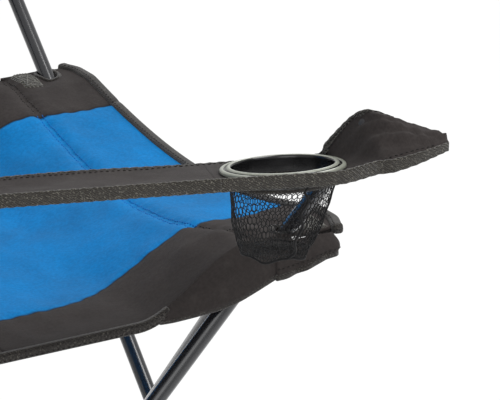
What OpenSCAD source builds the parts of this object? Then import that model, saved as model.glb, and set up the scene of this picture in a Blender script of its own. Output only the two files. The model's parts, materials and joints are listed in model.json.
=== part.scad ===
// Folding camp chair: a steel tube frame of four scissor faces with a slung fabric seat, back and arms.
// Front is -Y and the sitter's right is -X. Every face is one pair of crossed tubes.

/* [Frame] */
// Spacing of the corner pins, along each face
pin_span = 426; // [340:2:520]
// Height of the lower pins above the floor
foot_pin_z = 36; // [33:1:44]
// Height of the upper pins above the floor
joint_pin_z = 470; // [400:2:520]
// Diameter of the scissor tubes and arm posts
tube_d = 13; // [11:0.5:16]
// Wall of the scissor tubes and arm posts
tube_wall = 1; // [0.8:0.1:1.5]
// Tube beyond each end pin
tube_end = 10; // [8:0.5:12]

/* [Rear uprights] */
// Diameter of the rear uprights
upright_d = 15; // [13:0.5:18]
// Wall of the rear uprights
upright_wall = 1.2; // [1:0.1:1.6]
// Height where the uprights start to lean back
bend_z = 664; // [660:2:720]
// Radius of the bend
bend_r = 80; // [60:5:120]
// Lean of the upper part
back_lean = 14; // [8:1:20]
// Length of the leaning straight part
upper_run = 190; // [150:5:240]

/* [Plastic fittings] */
// Play between a tube and its ears, each side
ear_gap = 0.4; // [0.3:0.05:0.8]
// Thickness of an ear and of the block walls
ear_t = 3; // [2.5:0.25:4]
// Wall of the sleeves round the uprights
sleeve_wall = 3; // [2.5:0.25:4]
// Height of the foot sockets
socket_h = 62; // [50:1:80]
// Diameter of the round foot pad
pad_d = 50; // [44:1:60]
// Thickness of the foot base above the pad
base_top = 22; // [20:0.5:22]

/* [Rivets] */
// Rivet shank diameter
rivet_d = 5; // [4:0.25:6]
// Rivet head diameter
head_d = 9.5; // [8:0.25:11]
// Rivet head height
head_h = 1.8; // [1.2:0.1:2.5]
// Washer between two riveted tubes
washer_t = 1.5; // [1:0.1:2.5]
// Washer diameter
washer_d = 14; // [12:0.5:18]

/* [Arm posts] */
// Lean of a post from the floor plane
post_lean = 43.5; // [40:0.5:50]
// Height of the post's upper end
post_top_z = 609; // [590:1:640]
// Length of a post below the upper pin
post_tail = 84; // [70:1:110]

/* [Seat] */
// Half width of the seat
seat_half = 243; // [236:1:262]
// Seat ahead of the front pins
seat_front_over = 74; // [60:1:90]
// Thickness of the seat panel
seat_t = 6; // [4:0.5:10]
// Sag of the front edge's middle
seat_sag = 28; // [15:1:40]
// Sag of the side edges
side_sag = 46; // [30:1:60]
// Depth of the fabric flaps round the front corners
flap_h = 22; // [15:1:30]
// Thickness of the flaps
flap_t = 2.5; // [2:0.25:4]

/* [Backrest] */
// Thickness of the back panel
back_t = 6; // [4:0.5:10]
// Sag of the back panel, backwards
back_sag = 30; // [15:1:45]
// Length of the sewn sleeves on the uprights
sleeve_run = 150; // [120:2:170]
// Thickness of the sewn sleeves
sleeve_cloth = 2.5; // [1.5:0.25:4]

/* [Arms] */
// Height of the arm fabric's underside
arm_z = 579; // [566:1:590]
// Thickness of the arm fabric
arm_t = 5; // [4:0.5:8]
// Width of the arm at the back
arm_rear_w = 72; // [60:1:90]
// Width of the arm at the cup ring and post
arm_front_w = 104; // [100:1:130]
// Roll of the arm, outer edge up
arm_roll = 9; // [0:0.5:14]
// Front end of the arm's middle line, outboard of the post
arm_out = 9; // [0:1:16]
// Width of the nose over the post
nose_w = 74; // [66:1:90]
// Middle of the nose, outboard of the post
nose_out = 20; // [10:1:24]
// Roll of the nose, outer edge down
nose_roll = 22; // [0:1:30]
// Dip of the nose, front end down
nose_dip = 8; // [0:1:15]
// Arm beyond the post
nose_len = 52; // [46:1:60]

/* [Cup holder] */
// Outer diameter of the ring's flange
ring_d = 92; // [86:1:98]
// Clear diameter inside the ring
cup_d = 75; // [66:1:76]
// Distance of the cup's centre behind the post
cup_back = 68; // [62:1:90]
// Neck of the ring below the arm
neck_drop = 3; // [2:0.5:6]
// Depth of the mesh pocket
pocket_h = 54; // [50:1:110]
// Diameter of the pocket's base
pocket_base_d = 58; // [50:1:66]

/* [Hidden] */
$fn = 64;

half = pin_span / 2;
rise = joint_pin_z - foot_pin_z;
scissor_angle = atan2(rise, pin_span);
pin_length = sqrt(pin_span * pin_span + rise * rise);
tube_r = tube_d / 2;
upright_r = upright_d / 2;
run_fit = 0.06;   // radial play of a rivet in the tube that turns on it
seat_fit = 0.02;  // radial play of a rivet in the piece that holds it
slide_fit = 0.1;  // radial play of a bracket on its upright
turn_fit = 0.05;  // end play between parts that turn on one rivet
cloth_fit = 0.3;  // play between fabric and what it lies on

// Each face plane lies outside the pin corners, and its two tubes lie each side of that plane.
end_r = ceil(sqrt(tube_end * tube_end + tube_r * tube_r) * 2) / 2 + 0.5;
tube_offset = (tube_d + washer_t) / 2 + turn_fit;
inset = 6;
sleeve_gap = 1.75; // a sleeve clears the tube that passes it
inner_off = upright_r + sleeve_wall - inset + sleeve_gap + tube_r;
outer_off = inner_off + 2 * tube_offset;
wall_reach = tube_r + ear_gap + ear_t;
block_top = joint_pin_z + end_r;
ear_r = 9;
core_in = 9;
post_off = tube_r + wall_reach + head_h + ear_gap;
head_crown = 0.6; // flat of a rivet's head, as a share of its diameter
spacer_wall = 1.5;
post_rivet_s = [22, 62]; // along the tube, from its upper pin
base_low = 5;
pad_edge = 3;
pad_taper = 4;
stub_rise = 4; // the front feet's round stub stands this far above their ears
sleeve_r = upright_r + sleeve_wall;
sleeve_drop = 8;

// Corner-block places: outward distance of the tube on the front or rear face, then on the side face.
function off(outer) = outer ? outer_off : inner_off;

// Rear upright: straight, then bent back.
bend_rise = bend_r * sin(back_lean);
bend_back = bend_r * (1 - cos(back_lean));
upright_x = half - inset;
upright_y = half - inset;
upright_foot = 10;
bend_lap = 1;     // the leaning part starts this far inside the bend
bend_step = 0.05; // and is this much larger in radius

// Plugs in the tubes' ends.
plug_h = 11;
plug_fit = 0.05;
plug_lip = 1;
plug_rim = 3;
plug_crown = 1.8;
cap_lip = 1.5; // a post's cap beyond the post

// Seat and back.
seat_z = block_top + cloth_fit;
middle_share = 0.45; // share of the sides' sag that the middle has
columns = 24;
row_depth = 22;
column_w = 2 * seat_half / columns;
sling_half = half - core_in - column_w; // the seat lies level over the corner joints
dip_start = half - ear_r - row_depth; // and its sides start to dip behind them
dip_run = 80;
sling_power = 1.8; // shape of the sag across the seat
notch_fit = 1; // play between the seat's corner notches and the posts
flap_side = 48;
flap_inset = 8;
back_half = 190;
back_r = (back_half * back_half + back_sag * back_sag) / (2 * back_sag);
back_y = upright_y - upright_r - sleeve_wall - 1 - back_t;
back_bottom = seat_z + 2;
back_edge = 4; // back panel beyond the uprights
panel_stop = 6; // the two parts of the panel stop this far short of the upright's ends
panel_lap = 2;  // and the leaning part starts this far below the end of the bend

// Arms: a strip from the backrest to the post, rolled outer edge up. The left post stands further
// forward, because it is riveted to the outer tube.
post_run = (post_top_z - joint_pin_z) / tan(post_lean);
post_len = (post_top_z - joint_pin_z) / sin(post_lean);
post_x = half + post_run;
arm_gap = 0.5; // from the backrest's edge to the middle of an arm's rear end
arm_x0 = upright_x + upright_r + back_edge + arm_gap;
arm_y0 = back_y - cloth_fit;
function post_y(right) = half + (right ? inner_off : outer_off) + post_off;
arm_x1 = post_x + arm_out;
function arm_len(right) = sqrt(pow(arm_x1 - arm_x0, 2) + pow(post_y(right) + arm_y0, 2));
function arm_azimuth(right) = atan2(arm_x1 - arm_x0, post_y(right) + arm_y0);
split_back = 6; // an arm's split lies this far behind the cup ring
function arm_split(right) = arm_len(right) - cup_back - ring_d / 2 - split_back;
cap_r = tube_r + cap_lip;
nose_clear = 0.5; // from the post's cap up to the nose
neck_wall = 2;
flange_t = 2.2;
lip_d = 3;
pocket_round = 8;
pocket_straight = 12;
pocket_wall = 1;
flat_end = 11; // the flat part of an arm ends this far behind its post
nose_r = nose_w * 0.35;
crest = 13; // the top of the nose starts this far behind the post
tuck = 0.3; // a slope starts this far inside the panels that it joins
slice_t = 1;
nose_lap = 1;
split_gap = 0.3; // between the two parts of a seat or an arm

// The chair's middle, between the nose of the arms and the back's top.
front_reach = post_y(false) + nose_len;
rear_reach = upright_y + bend_back + upper_run * sin(back_lean) + upright_r + 1;
frame_y = (front_reach - rear_reach) / 2;

// Moves the pins' frame so that the origin is under the middle of the whole chair.
module placed() translate([0, frame_y, 0]) children();

// Puts children, made with outward -X and -Y and the corner pins at the origin, at a corner.
module corner(right, front) {
  placed() mirror([right ? 0 : 1, 0, 0]) mirror([0, front ? 0 : 1, 0])
    translate([-half, -half, 0]) children();
}

// Turns a clevis made for the front or rear face into one for the side face.
module side_face() mirror([1, -1, 0]) children();

// Ears each side of a tube at distance d, with a wall closing the end behind the tube.
module clevis(d, z0, z1, pin_z) {
  for (y = [-d - wall_reach, -d + wall_reach - ear_t]) {
    translate([-end_r - ear_t, y, z0]) cube([end_r + ear_t, ear_t, z1 - z0]);
    translate([0, y, pin_z]) rotate([-90, 0, 0]) cylinder(r = ear_r, h = ear_t);
    if (z0 < pin_z - ear_r) translate([0, y, z0]) cube([ear_r, ear_t, pin_z - z0]);
  }
  translate([-end_r - ear_t, -d - wall_reach, z0]) cube([ear_t, 2 * wall_reach, z1 - z0]);
}

// Bore for the rivet of a clevis, open outwards and closed behind the inner ear.
module pin_bore(d, pin_z) {
  translate([0, -d + wall_reach, pin_z]) rotate([90, 0, 0])
    cylinder(d = rivet_d + 2 * seat_fit, h = 2 * wall_reach + 1);
}

// Core that joins the two inner ears of a corner.
module core(d_face, d_side, z0, z1) {
  translate([-d_side + wall_reach - ear_t, -d_face + wall_reach - ear_t, z0])
    cube([core_in + d_side - wall_reach + ear_t, core_in + d_face - wall_reach + ear_t, z1 - z0]);
}

// Two clevises and their core, joined to the children, with the bores for the two rivets.
module corner_block(d_face, d_side, z0, z1, pin_z) {
  difference() {
    union() {
      clevis(d_face, z0, z1, pin_z);
      side_face() clevis(d_side, z0, z1, pin_z);
      core(d_face, d_side, z0, z1);
      children();
    }
    pin_bore(d_face, pin_z);
    side_face() pin_bore(d_side, pin_z);
  }
}

// The two arms of a foot's base, under its clevises.
module foot_base(d_face, d_side) {
  pad_c = (inner_off + outer_off) / 4;
  translate([-end_r - ear_t, -d_face - wall_reach, base_low])
    cube([end_r + ear_t + core_in, d_face + wall_reach + core_in, base_top - base_low]);
  translate([-d_side - wall_reach, -end_r - ear_t, base_low])
    cube([d_side + wall_reach + core_in, end_r + ear_t + core_in, base_top - base_low]);
  translate([-pad_c, -pad_c, 0]) cylinder(d1 = pad_d - pad_taper, d2 = pad_d, h = pad_edge);
  translate([-pad_c, -pad_c, pad_edge]) cylinder(d = pad_d, h = base_low);
}

module foot(right, front, outer_face) {
  d_face = off(outer_face);
  d_side = off(!outer_face);
  ears_top = foot_pin_z + ear_r;
  corner(right, front) difference() {
    corner_block(d_face, d_side, base_top - 1, ears_top, foot_pin_z) {
      foot_base(d_face, d_side);
      if (front) translate([inset / 2, inset / 2, base_low])
        cylinder(r = upright_r, h = ears_top + stub_rise - base_low);
      else translate([inset, inset, base_low]) cylinder(r = sleeve_r, h = socket_h - base_low);
    }
    if (!front) translate([inset, inset, upright_foot])
      cylinder(r = upright_r + seat_fit, h = socket_h);
  }
}

// A rivet with a head at its top, and one at its foot where it goes right through.
module rivet(length, through) {
  cylinder(d = rivet_d, h = length);
  translate([0, 0, length]) cylinder(d1 = head_d, d2 = head_d * head_crown, h = head_h);
  if (through) translate([0, 0, -head_h]) cylinder(d1 = head_d * head_crown, d2 = head_d, h = head_h);
}

// The rivets of a corner block's two clevises.
module block_rivets(right, front, outer_face, z) {
  length = 2 * wall_reach;
  corner(right, front) {
    translate([0, -off(outer_face) + wall_reach, z]) rotate([90, 0, 0]) rivet(length, false);
    side_face() translate([0, -off(!outer_face) + wall_reach, z]) rotate([90, 0, 0]) rivet(length, false);
  }
}

// Sliding bracket on a rear upright.
module bracket(right, outer_face) {
  z0 = joint_pin_z - ear_r;
  corner(right, false) difference() {
    corner_block(off(outer_face), off(!outer_face), z0, block_top, joint_pin_z)
      translate([inset, inset, z0 - sleeve_drop]) cylinder(r = sleeve_r, h = block_top - z0 + sleeve_drop);
    translate([inset, inset, z0 - 2 * sleeve_drop])
      cylinder(r = upright_r + slide_fit, h = block_top - z0 + 3 * sleeve_drop);
  }
}

module corner_joint(right, outer_face) {
  z0 = joint_pin_z - ear_r;
  corner(right, true)
    corner_block(off(outer_face), off(!outer_face), z0, block_top, joint_pin_z);
}

// A face's own frame: X along the face, outward -Y, and the pin line at its y = 0.
module face(name) {
  turn = name == "front" ? 0 : name == "rear" ? 180 : name == "right" ? -90 : 90;
  placed() rotate([0, 0, turn]) translate([0, -half, 0]) children();
}

// A scissor tube: the outer one rises towards +X of its face, the inner one towards -X.
module scissor_tube(name, outer) {
  face(name) mirror([outer ? 0 : 1, 0, 0])
    translate([-half, -off(outer), foot_pin_z]) rotate([0, -scissor_angle, 0]) difference() {
      rotate([0, 90, 0]) translate([0, 0, -tube_end]) cylinder(d = tube_d, h = pin_length + 2 * tube_end);
      rotate([0, 90, 0]) translate([0, 0, -tube_end - 1])
        cylinder(r = tube_r - tube_wall, h = pin_length + 2 * tube_end + 2);
      for (x = [0, pin_length / 2, pin_length])
        translate([x, 0, 0]) rotate([90, 0, 0])
          cylinder(d = rivet_d + 2 * run_fit, h = 2 * tube_d, center = true);
      if (name == "front") for (x = post_rivet_s)
        translate([pin_length - x, 0, 0]) rotate([90, 0, 0])
          cylinder(d = rivet_d + 2 * seat_fit, h = 2 * tube_d, center = true);
    }
}

module cross_rivet(name) {
  length = 2 * tube_r + 2 * tube_offset + 2 * turn_fit;
  face(name) translate([0, -inner_off + tube_r + turn_fit, foot_pin_z + rise / 2])
    rotate([90, 0, 0]) rivet(length, true);
}

module cross_washer(name) {
  face(name) translate([0, -(inner_off + outer_off) / 2, foot_pin_z + rise / 2]) rotate([90, 0, 0])
    difference() {
      cylinder(d = washer_d, h = washer_t, center = true);
      cylinder(d = rivet_d + 2 * run_fit, h = 2 * washer_t, center = true);
    }
}

// An upright's centre line swept with radius r, from its foot to its top.
module upright_sweep(r, from, extra) {
  translate([0, 0, from]) cylinder(r = r, h = bend_z - from);
  translate([0, bend_r, bend_z]) rotate([0, 0, -90]) rotate([90, 0, 0])
    rotate_extrude(angle = back_lean) translate([bend_r, 0]) circle(r = r);
  upper_end() translate([0, 0, -upper_run - bend_lap])
    cylinder(r = r + bend_step, h = upper_run + bend_lap + extra);
}

// Frame at the top end of an upright, +Z along its leaning part.
module upper_end() {
  translate([0, bend_r, bend_z]) rotate([-back_lean, 0, 0])
    translate([0, -bend_r, upper_run]) children();
}

module at_upright(right) {
  placed() mirror([right ? 0 : 1, 0, 0]) translate([-upright_x, upright_y, 0]) children();
}

module upright(right) {
  at_upright(right) difference() {
    upright_sweep(upright_r, upright_foot, 0);
    upright_sweep(upright_r - upright_wall, upright_foot - 1, 1);
  }
}

module upright_plug(right) {
  at_upright(right) upper_end() {
    translate([0, 0, -plug_h]) cylinder(r = upright_r - upright_wall - plug_fit, h = plug_h);
    cylinder(r = upright_r + plug_lip, h = plug_rim);
    translate([0, 0, plug_rim])
      cylinder(r1 = upright_r + plug_lip, r2 = upright_r - plug_crown, h = plug_crown);
  }
}

// Frame of an arm post: origin at the upper pin, +Z along the post, made for the right side.
module post_frame(right) {
  placed() mirror([right ? 0 : 1, 0, 0])
    translate([-half, -post_y(right), joint_pin_z]) rotate([0, post_lean - 90, 0]) children();
}

// A rivet s below the pin along the tube, seen from the post's frame.
module post_rivet_place(s) {
  translate([0, post_off / 2, 0]) rotate([0, scissor_angle - post_lean, 0])
    translate([0, 0, -s]) rotate([90, 0, 0]) children();
}

module arm_post(right) {
  post_frame(right) difference() {
    translate([0, 0, -post_tail]) cylinder(d = tube_d, h = post_len + post_tail);
    translate([0, 0, -post_tail - 1]) cylinder(r = tube_r - tube_wall, h = post_len + post_tail + 2);
    for (s = post_rivet_s) post_rivet_place(s)
      cylinder(d = rivet_d + 2 * seat_fit, h = 3 * tube_d + post_off, center = true);
  }
}

// The two rivets of a post, each with its spacer sleeve as one piece.
module post_rivets(right) {
  spacer = post_off - tube_d - 2 * turn_fit;
  post_frame(right) for (s = post_rivet_s) post_rivet_place(s) {
    translate([0, 0, -(post_off + tube_d) / 2]) rivet(post_off + tube_d, true);
    cylinder(d = rivet_d + 2 * spacer_wall, h = spacer, center = true);
  }
}

module post_cap(right) {
  post_frame(right) translate([0, 0, post_len]) {
    translate([0, 0, -plug_h]) cylinder(r = tube_r - tube_wall - plug_fit, h = plug_h);
    intersection() {
      sphere(r = cap_r);
      cylinder(r = 2 * cap_r, h = 2 * cap_r);
    }
  }
}

function smooth(t) = t <= 0 ? 0 : t >= 1 ? 1 : t * t * (3 - 2 * t);

// Height of the seat's top: slung from its four corners, it dips along the middle and the sides.
function side_dip(y) = smooth((y < 0 ? dip_start + y : back_y - y) / dip_run);
function seat_top(x, y) = let (across = 1 - pow(min(1, abs(x) / sling_half), sling_power))
  seat_z + seat_t - seat_sag * across - side_sag * side_dip(y) * (1 - (1 - middle_share) * across);

function two_triangles(a, b, c, d) = [[a, b, c], [a, c, d]];

// Cloth of even thickness between two lines across the chair.
module slung_cloth(y0, y1) {
  rows = ceil((y1 - y0) / row_depth);
  wide = columns + 1;
  count = wide * (rows + 1);
  top = [for (j = [0:rows], i = [0:columns])
    let (x = seat_half * (2 * i / columns - 1), y = y0 + (y1 - y0) * j / rows) [x, y, seat_top(x, y)]];
  faces = concat(
    [for (j = [0:rows - 1], i = [0:columns - 1]) let (p = i + wide * j)
      each two_triangles(p, p + wide, p + wide + 1, p + 1)],
    [for (j = [0:rows - 1], i = [0:columns - 1]) let (p = count + i + wide * j)
      each two_triangles(p, p + 1, p + wide + 1, p + wide)],
    [for (i = [0:columns - 1]) each two_triangles(count + i, i, i + 1, count + i + 1)],
    [for (i = [0:columns - 1]) let (p = wide * rows + i)
      each two_triangles(count + p + 1, p + 1, p, count + p)],
    [for (j = [0:rows - 1]) let (p = wide * j)
      each two_triangles(count + p + wide, p + wide, p, count + p)],
    [for (j = [0:rows - 1]) let (p = wide * j + columns)
      each two_triangles(count + p, p, p + wide, count + p + wide)]);
  polyhedron(concat(top, [for (p = top) p - [0, 0, seat_t]]), faces);
}

// Seat between two lines, open round the posts that pass its front corners.
module seat_panel(y0, y1) {
  difference() {
    placed() slung_cloth(y0, y1);
    for (right = [true, false]) post_frame(right)
      cylinder(r = tube_r + notch_fit, h = post_len / 2);
  }
}

// Fabric flap that hangs round a front corner joint, outside and in front.
module corner_flap(right) {
  out = outer_off + wall_reach + head_h + cloth_fit;
  z1 = block_top;
  flap_front = seat_front_over - flap_inset;
  corner(right, true) {
    translate([-out - flap_t, -flap_front, z1 - flap_h]) cube([flap_t, flap_front - flap_inset, flap_h]);
    translate([-out - flap_t, -flap_front, z1 - flap_h]) cube([flap_side, flap_t, flap_h]);
  }
}

// Back panel across the chair, seen from above: flat edges and a middle that sags backwards.
module back_profile(edge) {
  for (side = [-1, 1]) translate([side * (edge + back_half) / 2, back_t / 2])
    square([edge - back_half + 2, back_t], center = true);
  intersection() {
    translate([-back_half - 1, 0]) square([2 * back_half + 2, back_sag + back_t]);
    translate([0, back_sag + back_t - back_r]) difference() {
      circle(r = back_r, $fn = 180);
      circle(r = back_r - back_t, $fn = 180);
    }
  }
}

module backrest() {
  edge = upright_x + upright_r + back_edge;
  top = bend_z + bend_rise - panel_stop;
  sewn_r = upright_r + cloth_fit + sleeve_cloth;
  color("#3e3939") difference() {
    union() {
      placed() translate([0, back_y, back_bottom])
        linear_extrude(height = top - back_bottom) back_profile(edge);
      for (right = [true, false]) at_upright(right) upper_end() translate([0, 0, -sleeve_run - panel_stop]) {
        cylinder(r = sewn_r, h = sleeve_run);
        translate([-sewn_r, back_y - upright_y, 0]) cube([2 * sewn_r, upright_y - back_y, sleeve_run]);
      }
      placed() translate([0, upright_y, 0]) upper_end()
        translate([0, back_y - upright_y, -upper_run - panel_lap])
          linear_extrude(height = upper_run + panel_lap - panel_stop) back_profile(edge);
    }
    for (right = [true, false]) at_upright(right)
      upright_sweep(upright_r + cloth_fit, back_bottom - 1, 1);
  }
}

// An arm's frame: origin at its rear end, +Y back along the arm, +X outward, level.
module arm_frame(right) {
  placed() mirror([right ? 1 : 0, 0, 0]) translate([arm_x0, arm_y0, arm_z])
    rotate([0, 0, arm_azimuth(right)]) children();
}

// The flat part's frame, rolled outer edge up, with its underside at z = 0.
module arm_flat(right) arm_frame(right) rotate([0, -arm_roll, 0]) children();

// The nose's frame, over the post's end and rolled outer edge down.
module arm_nose(right) {
  placed() mirror([right ? 1 : 0, 0, 0]) translate([post_x, -post_y(right), post_top_z])
    rotate([nose_dip, nose_roll, 0]) translate([0, 0, cap_r + nose_clear]) children();
}

// Slice of a panel, a little narrower and thinner than the panel that it lies in.
module arm_slice(width) {
  translate([tuck - width / 2, 0, tuck]) cube([width - 2 * tuck, slice_t, arm_t - 2 * tuck]);
}

// Plan of an arm's flat part, whose front edge lies straight across the chair.
module arm_flat_plan(right) {
  wide_s = arm_len(right) - cup_back - ring_d / 2;
  front = -arm_len(right) + flat_end;
  skew = arm_front_w / 2 * tan(arm_azimuth(right));
  polygon([[-arm_rear_w / 2, 0], [arm_rear_w / 2, 0], [arm_front_w / 2, -wide_s],
    [arm_front_w / 2, front - skew], [-arm_front_w / 2, front + skew], [-arm_front_w / 2, -wide_s]]);
}

// Rounded nose ahead of the post, its tip drawn outward.
module nose_plan() {
  translate([nose_out - nose_w / 2, -nose_lap]) square([nose_w, crest + nose_lap]);
  hull() {
    translate([nose_out - nose_w / 2, -nose_lap]) square([nose_w, nose_lap]);
    translate([nose_out + nose_r / 2, -nose_len + nose_r]) circle(r = nose_r, $fn = 32);
  }
}

// An arm's flat part, behind its split or ahead of it.
module arm_part(right, rear) {
  edge = arm_split(right) + (rear ? -split_gap : split_gap) / 2;
  intersection() {
    linear_extrude(height = arm_t) arm_flat_plan(right);
    translate([-arm_front_w, rear ? -edge : -arm_len(right) - arm_front_w, 0])
      cube([2 * arm_front_w, rear ? edge : arm_len(right) + arm_front_w - edge, arm_t]);
  }
}

module arm_rear_part(right) {
  color("#3e3939") arm_flat(right) arm_part(right, true);
}

module arm_front_part(right) {
  color("#3e3939") {
    arm_flat(right) difference() {
      arm_part(right, false);
      if (right) translate([0, -arm_len(right) + cup_back, -1])
        cylinder(d = cup_d + 2 * neck_wall + 2 * cloth_fit, h = arm_t + 2);
    }
    hull() {
      arm_flat(right) translate([0, -arm_len(right) + flat_end, 0]) rotate([0, 0, -arm_azimuth(right)])
        translate([0, slice_t, 0]) arm_slice(arm_front_w);
      arm_nose(right) translate([nose_out, crest - 2 * slice_t, 0]) arm_slice(nose_w);
    }
    arm_nose(right) linear_extrude(height = arm_t) nose_plan();
  }
}

// Flanged plastic ring in the arm's hole.
module cup_ring() {
  seat = arm_t + cloth_fit;
  r0 = cup_d / 2;
  r1 = ring_d / 2;
  color("#141414") arm_flat(true) translate([0, -arm_len(true) + cup_back, 0]) rotate_extrude() {
    translate([r0, -neck_drop]) square([neck_wall, seat + flange_t + neck_drop]);
    translate([r0, seat]) square([r1 - r0 - flange_t / 2, flange_t]);
    translate([r1 - flange_t / 2, seat + flange_t / 2]) circle(d = flange_t);
    translate([r0 + lip_d / 2, seat + flange_t]) circle(d = lip_d);
  }
}

// Mesh pocket hung plumb under the ring: a thin tapered bag with a flat base.
module cup_pocket() {
  r_top = cup_d / 2 + neck_wall;
  r_low = pocket_base_d / 2;
  top = -neck_drop * cos(arm_roll) - r_top * sin(arm_roll) - cloth_fit;
  color("#1a1a1a") arm_flat(true) translate([0, -arm_len(true) + cup_back, 0])
    rotate([0, arm_roll, 0]) rotate_extrude() difference() {
      polygon([[0, top - pocket_h], [r_low - pocket_round, top - pocket_h],
        [r_low, top - pocket_h + pocket_round], [r_top, top - pocket_straight], [r_top, top], [0, top]]);
      polygon([[-1, top - pocket_h + pocket_wall], [r_low - pocket_round, top - pocket_h + pocket_wall],
        [r_low - pocket_wall, top - pocket_h + pocket_round], [r_top - pocket_wall, top - pocket_straight],
        [r_top - pocket_wall, top + 1], [-1, top + 1]]);
    }
}

steel = "#16171a";
plastic = "#101113";
zinc = "#9a9ca0";
module upright_right() { color(steel) upright(true); }
module upright_left() { color(steel) upright(false); }
module upright_plug_right() { color(plastic) upright_plug(true); }
module upright_plug_left() { color(plastic) upright_plug(false); }
module foot_rear_right() { color(plastic) foot(true, false, false); }
module foot_rear_left() { color(plastic) foot(false, false, true); }
module foot_front_right() { color(plastic) foot(true, true, true); }
module foot_front_left() { color(plastic) foot(false, true, false); }
module bracket_right() { color(plastic) bracket(true, true); }
module bracket_left() { color(plastic) bracket(false, false); }
module corner_joint_right() { color(plastic) corner_joint(true, false); }
module corner_joint_left() { color(plastic) corner_joint(false, true); }
module rear_tube_outer() { color(steel) scissor_tube("rear", true); }
module rear_tube_inner() { color(steel) scissor_tube("rear", false); }
module front_tube_outer() { color(steel) scissor_tube("front", true); }
module front_tube_inner() { color(steel) scissor_tube("front", false); }
module right_tube_outer() { color(steel) scissor_tube("right", true); }
module right_tube_inner() { color(steel) scissor_tube("right", false); }
module left_tube_outer() { color(steel) scissor_tube("left", true); }
module left_tube_inner() { color(steel) scissor_tube("left", false); }
module rear_cross_rivet() { color(zinc) cross_rivet("rear"); }
module front_cross_rivet() { color(zinc) cross_rivet("front"); }
module right_cross_rivet() { color(zinc) cross_rivet("right"); }
module left_cross_rivet() { color(zinc) cross_rivet("left"); }
module rear_washer() { color(plastic) cross_washer("rear"); }
module front_washer() { color(plastic) cross_washer("front"); }
module right_washer() { color(plastic) cross_washer("right"); }
module left_washer() { color(plastic) cross_washer("left"); }
module foot_rivets_rear_right() { color(zinc) block_rivets(true, false, false, foot_pin_z); }
module foot_rivets_rear_left() { color(zinc) block_rivets(false, false, true, foot_pin_z); }
module foot_rivets_front_right() { color(zinc) block_rivets(true, true, true, foot_pin_z); }
module foot_rivets_front_left() { color(zinc) block_rivets(false, true, false, foot_pin_z); }
module bracket_rivets_right() { color(zinc) block_rivets(true, false, true, joint_pin_z); }
module bracket_rivets_left() { color(zinc) block_rivets(false, false, false, joint_pin_z); }
module joint_rivets_right() { color(zinc) block_rivets(true, true, false, joint_pin_z); }
module joint_rivets_left() { color(zinc) block_rivets(false, true, true, joint_pin_z); }
module arm_post_right() { color(steel) arm_post(true); }
module arm_post_left() { color(steel) arm_post(false); }
module post_rivets_right() { color(zinc) post_rivets(true); }
module post_rivets_left() { color(zinc) post_rivets(false); }
module post_cap_right() { color(plastic) post_cap(true); }
module post_cap_left() { color(plastic) post_cap(false); }
module seat_front() { color("#0082d2") seat_panel(-half - seat_front_over, -split_gap / 2); }
module seat_rear() { color("#0082d2") seat_panel(split_gap / 2, back_y - cloth_fit); }
module corner_flap_right() { color("#3e3939") corner_flap(true); }
module corner_flap_left() { color("#3e3939") corner_flap(false); }
module arm_right_rear() { arm_rear_part(true); }
module arm_right_front() { arm_front_part(true); }
module arm_left_rear() { arm_rear_part(false); }
module arm_left_front() { arm_front_part(false); }

upright_right();
upright_left();
upright_plug_right();
upright_plug_left();
foot_rear_right();
foot_rear_left();
foot_front_right();
foot_front_left();
bracket_right();
bracket_left();
corner_joint_right();
corner_joint_left();
rear_tube_outer();
rear_tube_inner();
front_tube_outer();
front_tube_inner();
right_tube_outer();
right_tube_inner();
left_tube_outer();
left_tube_inner();
rear_cross_rivet();
front_cross_rivet();
right_cross_rivet();
left_cross_rivet();
rear_washer();
front_washer();
right_washer();
left_washer();
foot_rivets_rear_right();
foot_rivets_rear_left();
foot_rivets_front_right();
foot_rivets_front_left();
bracket_rivets_right();
bracket_rivets_left();
joint_rivets_right();
joint_rivets_left();
arm_post_right();
arm_post_left();
post_rivets_right();
post_rivets_left();
post_cap_right();
post_cap_left();
seat_front();
seat_rear();
corner_flap_right();
corner_flap_left();
backrest();
arm_right_rear();
arm_right_front();
arm_left_rear();
arm_left_front();
cup_ring();
cup_pocket();
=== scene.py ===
"""Looks of the folding camp chair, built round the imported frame.

Metres in the row frame; the front is -Y and the sitter's right is -X. Sizes are written in millimetres
from the middle of the four corner pins, with X outward, and place() turns them into the row frame.
"""
import json
import math

import bmesh
import bpy
import numpy as np
from mathutils import Matrix, Vector

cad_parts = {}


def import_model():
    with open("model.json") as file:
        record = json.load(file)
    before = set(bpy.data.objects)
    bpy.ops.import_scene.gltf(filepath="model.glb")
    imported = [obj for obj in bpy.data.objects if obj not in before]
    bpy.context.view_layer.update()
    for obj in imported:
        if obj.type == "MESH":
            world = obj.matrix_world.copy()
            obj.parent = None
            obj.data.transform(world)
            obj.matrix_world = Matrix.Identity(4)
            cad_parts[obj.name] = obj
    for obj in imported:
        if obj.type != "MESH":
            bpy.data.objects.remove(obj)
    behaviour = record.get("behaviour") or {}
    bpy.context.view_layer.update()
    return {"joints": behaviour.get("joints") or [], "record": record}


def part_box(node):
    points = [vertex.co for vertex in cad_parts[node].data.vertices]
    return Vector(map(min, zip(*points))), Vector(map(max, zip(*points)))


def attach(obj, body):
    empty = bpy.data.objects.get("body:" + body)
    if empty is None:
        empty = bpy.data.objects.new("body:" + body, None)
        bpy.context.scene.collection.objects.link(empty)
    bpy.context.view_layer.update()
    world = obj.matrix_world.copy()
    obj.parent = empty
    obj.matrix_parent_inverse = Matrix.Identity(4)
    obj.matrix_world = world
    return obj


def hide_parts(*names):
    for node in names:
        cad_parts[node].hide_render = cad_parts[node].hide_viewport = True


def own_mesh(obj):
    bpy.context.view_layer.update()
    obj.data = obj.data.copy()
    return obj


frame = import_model()
JOINTS = {j["name"]: j for j in frame["joints"]}
MM = 0.001
FRAME_Y = JOINTS["seat_mid_fold"]["pos_m"][1]

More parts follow.
